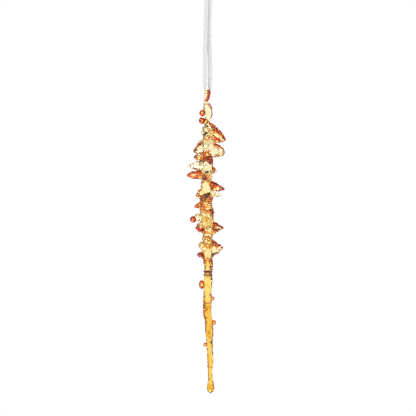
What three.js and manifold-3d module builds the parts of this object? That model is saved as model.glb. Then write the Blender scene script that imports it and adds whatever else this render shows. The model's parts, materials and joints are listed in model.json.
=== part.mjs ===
// Icicle hanging ornament, in millimetres, +Z up, +X to the right and -Y to the front.
// Lampworked amber glass, hung by a ribbon loop that is threaded through the glass eye.
// The origin is the point inside the top of the ribbon loop where a hook or a twig bears.
import * as THREE from "three";
import { mergeVertices } from "three/addons/utils/BufferGeometryUtils.js";
import Module from "manifold-3d";

// Driving dimensions.
const GLASS_TOP = -98; // top of the eye, below the hook
const GLASS_LENGTH = 279.4;
const GLASS_TIP = GLASS_TOP - GLASS_LENGTH;
const GAP = 0.3; // clearance between pieces that are fused on the real object
const RIBBON_WIDTH = 3.9;
const RIBBON_THICKNESS = 0.4;
const EYE_ROD_RADIUS = 1.35;
const EYE_HOLE_RADIUS = 1.6; // of the round ends of the hole
const EYE_HEIGHT = 11.8;
const EYE_X = -0.5;
const EYE_LEAN = 0.19; // sideways per unit of height
const EYE_TURN = THREE.MathUtils.degToRad(30); // of the hole's axis from +X towards +Y

const amber = (colour, roughness) =>
  new THREE.MeshStandardMaterial({ color: colour, roughness, metalness: 0 });
const PALE = amber(0xf6e3a4, 0.05);
const GOLDEN = amber(0xeeb648, 0.05);
const RED = amber(0xb8391a, 0.05);
const RIBBON = amber(0xe9e9e9, 0.6);

const wasm = await Module();
wasm.setup();
const ornament = new THREE.Group();

// ---- Solids: three.js makes the shapes, and manifold-3d only cuts and joins them ----

function toSolid(geometry) {
  const bare = geometry.clone();
  bare.deleteAttribute("normal");
  bare.deleteAttribute("uv");
  const merged = mergeVertices(bare, 1e-3);
  const mesh = new wasm.Mesh({
    numProp: 3,
    vertProperties: new Float32Array(merged.attributes.position.array),
    triVerts: new Uint32Array(merged.index.array),
  });
  return new wasm.Manifold(mesh);
}

function toGeometry(solid) {
  const mesh = solid.getMesh();
  const geometry = new THREE.BufferGeometry();
  geometry.setAttribute("position", new THREE.BufferAttribute(mesh.vertProperties, 3));
  geometry.setIndex(new THREE.BufferAttribute(mesh.triVerts, 1));
  geometry.computeVertexNormals();
  return geometry;
}

function largestBody(solid) {
  return solid.decompose().sort((a, b) => b.volume() - a.volume())[0];
}

function boxesMeet(a, b) {
  const p = a.boundingBox();
  const q = b.boundingBox();
  return [0, 1, 2].every((k) => p.min[k] <= q.max[k] && q.min[k] <= p.max[k]);
}

// Adds a glass piece whose shape is make(grow). It is cut back from every piece that is already there,
// each taken GAP larger all round.
const placed = [];
function addGlass(name, material, make) {
  const nearby = placed.filter((other) => boxesMeet(other, toSolid(make(0))));
  const solid = largestBody(nearby.reduce((left, other) => left.subtract(other), toSolid(make(0))));
  addMesh(name, material, toGeometry(solid));
  placed.push(toSolid(make(GAP)));
}

function addMesh(name, material, geometry) {
  const mesh = new THREE.Mesh(geometry, material);
  mesh.name = name;
  ornament.add(mesh);
}

// A closed skin over rings of points, which all have the same number of points and run the same way round.
function skinOver(rings) {
  const around = rings[0].length;
  const points = rings.flat();
  const faces = [];
  for (let i = 0; i + 1 < rings.length; i++)
    for (let j = 0; j < around; j++) {
      const a = i * around + j;
      const b = i * around + ((j + 1) % around);
      faces.push(a, b, a + around, b, b + around, a + around);
    }
  for (const [ring, flip] of [[0, true], [rings.length - 1, false]]) {
    const centre = rings[ring].reduce((sum, p) => sum.add(p), new THREE.Vector3()).divideScalar(around);
    const hub = points.push(centre) - 1;
    for (let j = 0; j < around; j++) {
      const a = ring * around + j;
      const b = ring * around + ((j + 1) % around);
      faces.push(...(flip ? [b, a, hub] : [a, b, hub]));
    }
  }
  const geometry = new THREE.BufferGeometry().setFromPoints(points);
  geometry.setIndex(faces);
  return geometry;
}

const ROD_SIDES = 14;
const station = (z, x, rx, ry = rx, y = 0) => ({
  centre: new THREE.Vector3(x, y, z),
  girth: new THREE.Vector3(rx, ry, 0),
});
// An upright rod through stations listed from the top down, smoothed between them.
function rod(stations, steps, grow = 0) {
  const line = new THREE.CatmullRomCurve3(stations.map((s) => s.centre), false, "catmullrom");
  const girths = new THREE.CatmullRomCurve3(stations.map((s) => s.girth), false, "catmullrom");
  const rings = [];
  for (let i = 0; i <= steps; i++) {
    const centre = line.getPoint(i / steps);
    const girth = girths.getPoint(i / steps);
    const lift = i === 0 ? grow : i === steps ? -grow : 0;
    const ring = [];
    for (let j = 0; j < ROD_SIDES; j++) {
      const angle = (-2 * Math.PI * j) / ROD_SIDES;
      const x = (girth.x + grow) * Math.cos(angle);
      const y = (girth.y + grow) * Math.sin(angle);
      ring.push(new THREE.Vector3(x, y, lift).add(centre));
    }
    rings.push(ring);
  }
  return skinOver(rings);
}

// The middle of the core at a height, which lobes and drops are set out from.
const CORE_LINE = [
  [-110, -1.6],
  [-118, -0.3],
  [-128, -0.3],
  [-142, 0.5],
  [-158, -0.5],
  [-170, -0.8],
  [-183, -1.7],
  [-199, -2],
  [-217, -0.8],
  [-234, -0.2],
  [-255, 0],
  [-263, 0.3],
  [-271, -0.1],
  [-285, -0.2],
  [-295, -0.3],
  [-301, -0.9],
  [-307, -0.4],
  [-313, 0.9],
  [-327, 1.3],
  [-340, 1.6],
  [-356, 2.1],
  [GLASS_TIP, 2.4],
];
function coreX(z) {
  const below = CORE_LINE.findIndex(([height]) => height <= z);
  if (below <= 0) return CORE_LINE[0][1];
  const [z0, x0] = CORE_LINE[below - 1];
  const [z1, x1] = CORE_LINE[below];
  return x0 + ((z - z0) / (z1 - z0)) * (x1 - x0);
}

// ---- The eye and the leaf-shaped neck under it ----

const holeAxis = new THREE.Vector3(Math.cos(EYE_TURN), Math.sin(EYE_TURN), 0);
const eyeSide = new THREE.Vector3(-Math.sin(EYE_TURN), Math.cos(EYE_TURN), 0);
const eyeCentre = new THREE.Vector3(EYE_X, 0, GLASS_TOP - EYE_HEIGHT / 2);
const eyeBend = EYE_ROD_RADIUS + EYE_HOLE_RADIUS; // of the centreline, in the round ends
// The ribbon lies here in the eye, and the icicle swings about this point.
const saddle = new THREE.Vector3(EYE_X, 0, GLASS_TOP - EYE_ROD_RADIUS - eyeBend + 0.3);
const eyeLeg = EYE_HEIGHT - 2 * (eyeBend + EYE_ROD_RADIUS); // the straight between the round ends
const eyeLine = new THREE.CatmullRomCurve3(
  Array.from({ length: 12 }, (_, i) => {
    const angle = THREE.MathUtils.degToRad(15 + 30 * i);
    const point = eyeCentre.clone().addScaledVector(eyeSide, eyeBend * Math.cos(angle));
    point.z += eyeBend * Math.sin(angle) + (Math.sign(Math.sin(angle)) * eyeLeg) / 2;
    point.x += EYE_LEAN * (point.z - saddle.z);
    return point;
  }),
  true,
);
addGlass("hanging_eye", RED, (grow) => new THREE.TubeGeometry(eyeLine, 24, EYE_ROD_RADIUS + grow, 10, true));

addGlass("neck_leaf", PALE, (grow) =>
  rod(
    [
      station(-108.4, -1.4, 1.5, 1.6),
      station(-111.6, -1.6, 2.4, 2.1),
      station(-116, -0.4, 3.9, 2.3),
      station(-121, 0.3, 3.9, 2.4),
      station(-125.2, 0.2, 2.6, 2.1),
      station(-127.4, 0, 2, 1.9),
    ],
    8,
    grow,
  ),
);

// ---- Core: four gathers of glass one under the other, then the drawn stem in five drips ----

const GATHERS = {
  gather_top: [
    station(-127.7, -0.1, 2.1),
    station(-134, 0.2, 4.4, 4.2),
    station(-142, 0.5, 5.6, 5.4),
    station(-150, 0, 6.4, 5.9),
    station(-157, -0.5, 5.6, 5.4),
    station(-162.4, -0.5, 4.3),
  ],
  gather_second: [
    station(-162.7, -0.5, 4.3),
    station(-169, -0.8, 5.4, 5.1),
    station(-176, -1.2, 5.4, 5.2),
    station(-182.4, -1.7, 4.5),
  ],
  gather_third: [
    station(-182.7, -1.7, 4.5),
    station(-190, -1.3, 5.6, 5.4),
    station(-199, -2, 6, 5.8),
    station(-208, -1.7, 6.2, 5.8),
    station(-217, -0.8, 6.2, 5.8),
    station(-226, -0.4, 5.8, 5.4),
    station(-234, -0.2, 4.5),
  ],
  gather_bottom: [
    station(-234.3, -0.2, 4.5),
    station(-241, -0.3, 5.7, 5.4),
    station(-248, -0.5, 5.7, 5.4),
    station(-254.6, -0.3, 4.4),
  ],
};
for (const [name, stations] of Object.entries(GATHERS))
  addGlass(name, PALE, (grow) => rod(stations, 2 * (stations.length - 1), grow));

const DRIPS = [
  [
    station(-254.9, -0.2, 4.4),
    station(-258.5, 0.3, 4.4),
    station(-262.7, 0.4, 3.9),
    station(-265.9, 0.1, 3.5),
    station(-269.2, -0.1, 3.5),
    station(-270.9, -0.1, 3.7),
  ],
  [
    station(-271.2, -0.1, 3.8),
    station(-278.4, 0, 3.9),
    station(-284.8, -0.3, 3.7),
    station(-291, -0.1, 4),
    station(-295, -0.2, 3.9),
  ],
  [
    station(-295.3, -0.4, 3.9),
    station(-301.4, -0.9, 3.9),
    station(-307, -0.4, 3.6),
    station(-313, 0.9, 3.6),
    station(-320, 1.1, 3.7),
    station(-327.1, 1.4, 3.3),
  ],
  [
    station(-327.4, 1.2, 3),
    station(-334, 1.4, 2.95),
    station(-340.2, 1.6, 2.65),
    station(-345.7, 2, 2.9),
    station(-354.1, 2.1, 2.5),
  ],
  [station(-354.4, 2.1, 2.05), station(-361.4, 2.3, 2), station(-366.6, 2.3, 2.2)],
];
DRIPS.forEach((stations, i) =>
  addGlass("stem_drip_" + (i + 1), GOLDEN, (grow) => rod(stations, 2 * (stations.length - 1), grow)),
);

const TIP_WIDEST = GLASS_TIP + 4.2;
addGlass("tip_drop", GOLDEN, (grow) =>
  rod(
    [
      station(-366.9, 2.4, 2.3),
      station(-370, 2.4, 3),
      station(TIP_WIDEST, 2.4, 3.6),
      station(GLASS_TIP + 1.4, 2.4, 2.9),
      station(GLASS_TIP + 0.3, 2.4, 1.5),
      station(GLASS_TIP, 2.4, 0.3),
    ],
    10,
    grow,
  ),
);

// Two rings of glass trailed round the foot of the first drip.
const wrap = (z, x, radius, thickness, grow) =>
  rod(
    [
      station(z + thickness, x, radius - 0.8),
      station(z + 0.35 * thickness, x, radius),
      station(z - 0.35 * thickness, x, radius),
      station(z - thickness, x, radius - 0.8),
    ],
    6,
    grow,
  );
addGlass("wrap_upper", RED, (grow) => wrap(-265.9, 0.1, 4.6, 0.95, grow));
addGlass("wrap_lower", RED, (grow) => wrap(-269.1, 0, 4.5, 0.8, grow));

// ---- Lobes: blobs of glass that were pulled outwards and droop ----

const LOBE_SIDES = 10;
const LOBE_STEPS = 6;
// azimuth 0 points right, 90 back, 180 left and 270 to the front. reach is from the core's middle to the tip.
function lobe({ azimuth, reach, rootZ, tipZ, tall, thick, blunt }, grow) {
  const angle = THREE.MathUtils.degToRad(azimuth);
  const out = new THREE.Vector3(Math.cos(angle), Math.sin(angle), 0);
  const side = new THREE.Vector3(-Math.sin(angle), Math.cos(angle), 0);
  const rings = [];
  for (let i = 0; i <= LOBE_STEPS; i++) {
    const along = Math.sin(((Math.PI / 2) * i) / (LOBE_STEPS + 0.35));
    const full = Math.sqrt(1 - along ** blunt);
    const centre = new THREE.Vector3(coreX(rootZ), 0, rootZ + (tipZ - rootZ) * along ** 1.5);
    centre.addScaledVector(out, along * (reach + grow));
    const ring = [];
    for (let j = 0; j < LOBE_SIDES; j++) {
      const turn = (2 * Math.PI * j) / LOBE_SIDES;
      const point = centre.clone().addScaledVector(side, (thick + grow) * full * Math.cos(turn));
      point.z += (tall + grow) * full * Math.sin(turn);
      ring.push(point);
    }
    rings.push(ring);
  }
  return skinOver(rings);
}

const shape = (azimuth, reach, rootZ, tipZ, tall, thick, blunt) => ({
  azimuth,
  reach,
  rootZ,
  tipZ,
  tall,
  thick,
  blunt,
});
const PALE_LOBES = {
  lobe_right_2: shape(5, 16.3, -153, -156.2, 6.7, 3.6, 2.6),
  lobe_right_5: shape(20, 14.9, -194, -195.6, 2.8, 2.4, 2.6),
  lobe_right_8: shape(8, 13.4, -244.7, -244, 8.4, 3.4, 1.2),
  lobe_left_1: shape(190, 6.6, -136.6, -137.6, 5, 2.8, 3),
  lobe_left_2: shape(178, 12.2, -150.6, -154.2, 5.2, 3.8, 3),
  lobe_left_4: shape(188, 17, -168.6, -169, 3.8, 3.2, 4),
  lobe_left_6: shape(196, 9, -193.1, -195.6, 5, 3.2, 3),
  lobe_left_8: shape(172, 11, -213.2, -217.6, 3, 2.8, 2.4),
  lobe_left_10: shape(178, 8.9, -242.1, -242.6, 3.6, 3.2, 3),
  lobe_front_1: shape(255, 11.5, -146.6, -150.1, 6, 4, 2.4),
  lobe_front_3: shape(250, 10.8, -177.1, -180.1, 4.6, 3.8, 2.4),
  lobe_front_5: shape(262, 10.8, -217.6, -220.6, 4.6, 3.8, 2.4),
  lobe_back_1: shape(80, 11, -139.6, -142.6, 5, 3.6, 2.4),
  lobe_back_3: shape(75, 12, -176.6, -180.6, 5.2, 3.6, 2.2),
  lobe_back_5: shape(98, 11, -219.6, -223.6, 5, 3.4, 2.2),
};
const RED_LOBES = {
  lobe_right_1: shape(-10, 16.1, -137.3, -145, 8.4, 3.6, 1.7),
  lobe_right_3: shape(10, 9.4, -170.2, -173.6, 4.8, 2.8, 1.6),
  lobe_right_4: shape(-12, 17.6, -186.6, -190.6, 4.8, 3.2, 1.5),
  lobe_right_6: shape(-40, 8.8, -209.8, -211.6, 3.2, 3, 3),
  lobe_right_7: shape(-5, 14.5, -225.4, -225.8, 6.6, 3, 1.2),
  lobe_left_3: shape(170, 12.4, -159.6, -161, 4, 3.8, 3),
  lobe_left_5: shape(168, 18.1, -176.6, -177, 3.9, 3.4, 5),
  lobe_left_7: shape(180, 11.2, -204.9, -205.6, 3.4, 3, 2),
  lobe_left_9: shape(190, 10.8, -225, -225.4, 5, 3.6, 4),
  lobe_left_11: shape(188, 9.6, -249.6, -250.4, 3.4, 3.2, 3),
  lobe_front_2: shape(292, 10.4, -162.1, -165.6, 4.2, 3.6, 2.4),
  lobe_front_4: shape(265, 11.4, -196.6, -199.6, 5, 4, 2.4),
  lobe_front_6: shape(275, 9.6, -235.1, -238.6, 4.4, 3.6, 2.4),
  lobe_back_2: shape(108, 12, -157.6, -161.6, 5.6, 3.8, 2.2),
  lobe_back_4: shape(85, 11.8, -197.6, -201.6, 5.4, 3.8, 2.2),
  lobe_back_6: shape(85, 9.8, -240.6, -244.1, 4.6, 3.4, 2.2),
};
for (const [material, lobes] of [[PALE, PALE_LOBES], [RED, RED_LOBES]])
  for (const [name, sizes] of Object.entries(lobes)) addGlass(name, material, (grow) => lobe(sizes, grow));

// ---- Beads on the neck and body, and small drops on the stem ----

function ball({ x, y, z, radius, tall = radius }, grow) {
  const geometry = new THREE.SphereGeometry(radius + grow, 12, 9);
  geometry.rotateX(Math.PI / 2);
  geometry.scale(1, 1, (tall + grow) / (radius + grow));
  return geometry.translate(x, y, z);
}
const BEADS = {
  bead_neck_upper: { x: -5.1, y: -0.8, z: -120, radius: 3 },
  bead_neck_lower: { x: -5.5, y: -0.6, z: -126.9, radius: 3.1 },
  bead_neck_front: { x: -2.3, y: -2.8, z: -127.8, radius: 2.6 },
  bead_body: { x: -13.8, y: 1.5, z: -218, radius: 3 },
};
for (const [name, sizes] of Object.entries(BEADS)) addGlass(name, RED, (grow) => ball(sizes, grow));

// Each drop sits on the stem's side, out from the stem's middle by out.
const dropAt = (azimuth, out, z, radius, tall) => {
  const angle = THREE.MathUtils.degToRad(azimuth);
  return { x: coreX(z) + out * Math.cos(angle), y: out * Math.sin(angle), z, radius, tall };
};
const DROPS = [
  dropAt(180, 5.5, -277.9, 2.8, 4.2),
  dropAt(-10, 4.7, -290.8, 1.7, 1.9),
  dropAt(75, 4.4, -300, 1.8, 2.2),
  dropAt(0, 4.6, -312.9, 1.9, 2.3),
  dropAt(110, 3.9, -322, 1.6, 1.9),
  dropAt(185, 4.3, -333.4, 1.5, 1.8),
];
DROPS.forEach((sizes, i) => addGlass("stem_drop_" + (i + 1), RED, (grow) => ball(sizes, grow)));

// A thread of glass trailed down the right edge of the neck leaf, which ends in a dot.
const TRAIL_RADIUS = 0.75;
addGlass("neck_trail", RED, (grow) => {
  const line = new THREE.CatmullRomCurve3([
    new THREE.Vector3(1.3, -0.5, -110.8),
    new THREE.Vector3(3.3, -0.9, -113.6),
    new THREE.Vector3(4.3, -0.9, -117.4),
  ]);
  const section = new THREE.Shape().absarc(0, 0, TRAIL_RADIUS + grow, 0, 2 * Math.PI);
  return new THREE.ExtrudeGeometry(section, { steps: 5, curveSegments: 4, extrudePath: line });
});

// ---- Ribbon: one flat length, threaded through the eye, with its two ends knotted together ----

const SADDLE_WIDTH = 1.8; // the ribbon is gathered where it lies in the eye
const SADDLE_THICKNESS = 0.7;
const SADDLE_RADIUS = 2.7; // of the bend under the eye, which the strands leave upwards
const bend = (angle) =>
  saddle
    .clone()
    .addScaledVector(holeAxis, SADDLE_RADIUS * Math.sin(angle))
    .setZ(saddle.z + SADDLE_RADIUS * (1 - Math.cos(angle)));
const bendAngles = [-80, -50, -25, 0, 25, 50, 80].map(THREE.MathUtils.degToRad);
const route = new THREE.CatmullRomCurve3(
  [
    new THREE.Vector3(-0.45, 0, 1.2),
    new THREE.Vector3(-0.5, 0, 0.2),
    new THREE.Vector3(-1.9, 0, -2),
    new THREE.Vector3(-2.2, -0.1, -5),
    new THREE.Vector3(-1.4, -0.5, -16),
    new THREE.Vector3(-1.9, -0.6, -34),
    new THREE.Vector3(-2.4, -0.8, -53),
    new THREE.Vector3(-2.7, -1, -71),
    new THREE.Vector3(-2.8, -1.2, -89),
    new THREE.Vector3(-2.8, -1.3, -95),
    ...bendAngles.map(bend),
    new THREE.Vector3(1.8, 1.3, -95),
    new THREE.Vector3(2, 1.2, -89),
    new THREE.Vector3(1.8, 1, -71),
    new THREE.Vector3(1.2, 0.8, -53),
    new THREE.Vector3(1.2, 0.6, -34),
    new THREE.Vector3(2.3, 0.5, -16),
    new THREE.Vector3(2.4, 0.1, -5),
    new THREE.Vector3(1.9, 0, -2),
    new THREE.Vector3(0.5, 0, 0.2),
    new THREE.Vector3(0.45, 0, 1.2),
  ],
  false,
  "centripetal",
);
const RIBBON_STEPS = 72;
const TWIST_HEIGHT = 8; // over which the ribbon turns from lying in the eye to facing the front
const HOOK_TWIST = [-16, -5]; // heights between which it turns on to lie flat against the hook
const SECTION = [
  [-1, -0.5],
  [-0.6, -1],
  [0.6, -1],
  [1, -0.5],
  [1, 0.5],
  [0.6, 1],
  [-0.6, 1],
  [-1, 0.5],
];
function ribbonRing(t) {
  const centre = route.getPointAt(t);
  const along = route.getTangentAt(t);
  const spread = THREE.MathUtils.smoothstep(centre.z, saddle.z + 1, saddle.z + 1 + TWIST_HEIGHT);
  const turnBack = THREE.MathUtils.smoothstep(centre.z, ...HOOK_TWIST) * (Math.PI / 2);
  const turn = THREE.MathUtils.lerp(EYE_TURN + Math.PI / 2, Math.PI, spread) - turnBack;
  const width = new THREE.Vector3(Math.cos(turn), Math.sin(turn), 0);
  width.addScaledVector(along, -width.dot(along)).normalize();
  const face = new THREE.Vector3().crossVectors(along, width);
  const halfWidth = THREE.MathUtils.lerp(SADDLE_WIDTH, RIBBON_WIDTH, spread) / 2;
  const halfThickness = THREE.MathUtils.lerp(SADDLE_THICKNESS, RIBBON_THICKNESS, spread) / 2;
  return SECTION.map(([w, f]) =>
    centre
      .clone()
      .addScaledVector(width, w * halfWidth)
      .addScaledVector(face, f * halfThickness),
  );
}
const ribbonRings = Array.from({ length: RIBBON_STEPS + 1 }, (_, i) => ribbonRing(i / RIBBON_STEPS));
addMesh("ribbon_loop", RIBBON, skinOver(ribbonRings));

// The overhand knot of both ends, and their two cut tails above it, are one solid.
const KNOT_BOTTOM = 1.6;
const KNOT_HEIGHT = 5;
const TAIL_LENGTH = 9;
function knotWithTails() {
  const body = toSolid(
    rod(
      [
        station(KNOT_BOTTOM + KNOT_HEIGHT, 0, 1.4, 1),
        station(KNOT_BOTTOM + 0.8 * KNOT_HEIGHT, 0, 2.9, 2),
        station(KNOT_BOTTOM + 0.4 * KNOT_HEIGHT, 0, 3.1, 2.2),
        station(KNOT_BOTTOM, 0, 2.2, 1.5),
      ],
      8,
    ),
  );
  const tail = (side) => {
    const strip = new THREE.BoxGeometry(RIBBON_WIDTH, RIBBON_THICKNESS, TAIL_LENGTH + 2);
    strip.translate(0, side * 0.45, (TAIL_LENGTH - 2) / 2);
    strip.rotateY(side * 0.32);
    return toSolid(strip.translate(0, 0, KNOT_BOTTOM + KNOT_HEIGHT));
  };
  return body.add(tail(-1)).add(tail(1));
}
addMesh("ribbon_knot", RIBBON, toGeometry(knotWithTails()));

export default ornament;
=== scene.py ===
"""Looks of an icicle hanging ornament of amber glass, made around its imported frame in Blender 4.5."""

import json
import math

import bpy
import numpy as np
from bpy.props import FloatProperty, FloatVectorProperty, PointerProperty
from mathutils import Matrix, Vector
from mathutils.kdtree import KDTree


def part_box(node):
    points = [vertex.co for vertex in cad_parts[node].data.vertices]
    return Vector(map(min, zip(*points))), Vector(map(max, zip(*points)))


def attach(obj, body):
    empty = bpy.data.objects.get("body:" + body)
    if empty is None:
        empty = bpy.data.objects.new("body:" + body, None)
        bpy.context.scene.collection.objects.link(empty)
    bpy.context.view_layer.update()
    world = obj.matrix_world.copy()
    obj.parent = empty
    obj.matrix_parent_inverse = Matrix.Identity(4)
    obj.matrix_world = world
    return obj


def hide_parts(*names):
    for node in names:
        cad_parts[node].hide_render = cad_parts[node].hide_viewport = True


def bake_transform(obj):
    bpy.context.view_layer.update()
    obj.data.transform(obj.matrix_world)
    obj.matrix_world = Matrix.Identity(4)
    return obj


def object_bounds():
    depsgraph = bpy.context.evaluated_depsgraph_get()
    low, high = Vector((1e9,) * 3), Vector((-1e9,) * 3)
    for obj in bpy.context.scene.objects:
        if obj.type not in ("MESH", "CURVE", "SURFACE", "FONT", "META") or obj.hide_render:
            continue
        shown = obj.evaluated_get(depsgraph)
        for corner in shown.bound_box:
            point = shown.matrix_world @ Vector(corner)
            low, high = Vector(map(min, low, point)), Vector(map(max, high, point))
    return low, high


bl_info = {
    "name": "Icicle Ornament",
    "version": (1, 0, 0),
    "blender": (4, 5, 0),
    "location": "3D View > Sidebar > Icicle",
    "description": "Blows the glass, ties the ribbon and lights the stage of a hanging glass icicle",
    "category": "Object",
}

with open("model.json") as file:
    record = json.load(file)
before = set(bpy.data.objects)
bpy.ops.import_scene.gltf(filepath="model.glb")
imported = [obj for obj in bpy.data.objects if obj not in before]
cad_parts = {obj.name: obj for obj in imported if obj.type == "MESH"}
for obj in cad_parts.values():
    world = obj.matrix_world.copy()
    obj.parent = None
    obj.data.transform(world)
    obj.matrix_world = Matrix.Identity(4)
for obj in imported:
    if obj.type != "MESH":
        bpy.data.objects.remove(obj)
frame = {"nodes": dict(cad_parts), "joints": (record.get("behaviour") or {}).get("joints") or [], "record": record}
CAD_BOX = [list(corner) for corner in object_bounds()]
MM = 0.001
NODES = frame["nodes"]
GLASS_BODY = "icicle"
EYE_LOW, EYE_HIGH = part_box("hanging_eye")
SWING = next(joint for joint in frame["joints"] if joint["name"] == "icicle_swing")
SADDLE = Vector(SWING["pos_m"])
HOLE_AXIS = Vector(SWING["axis"]).normalized()

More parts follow.
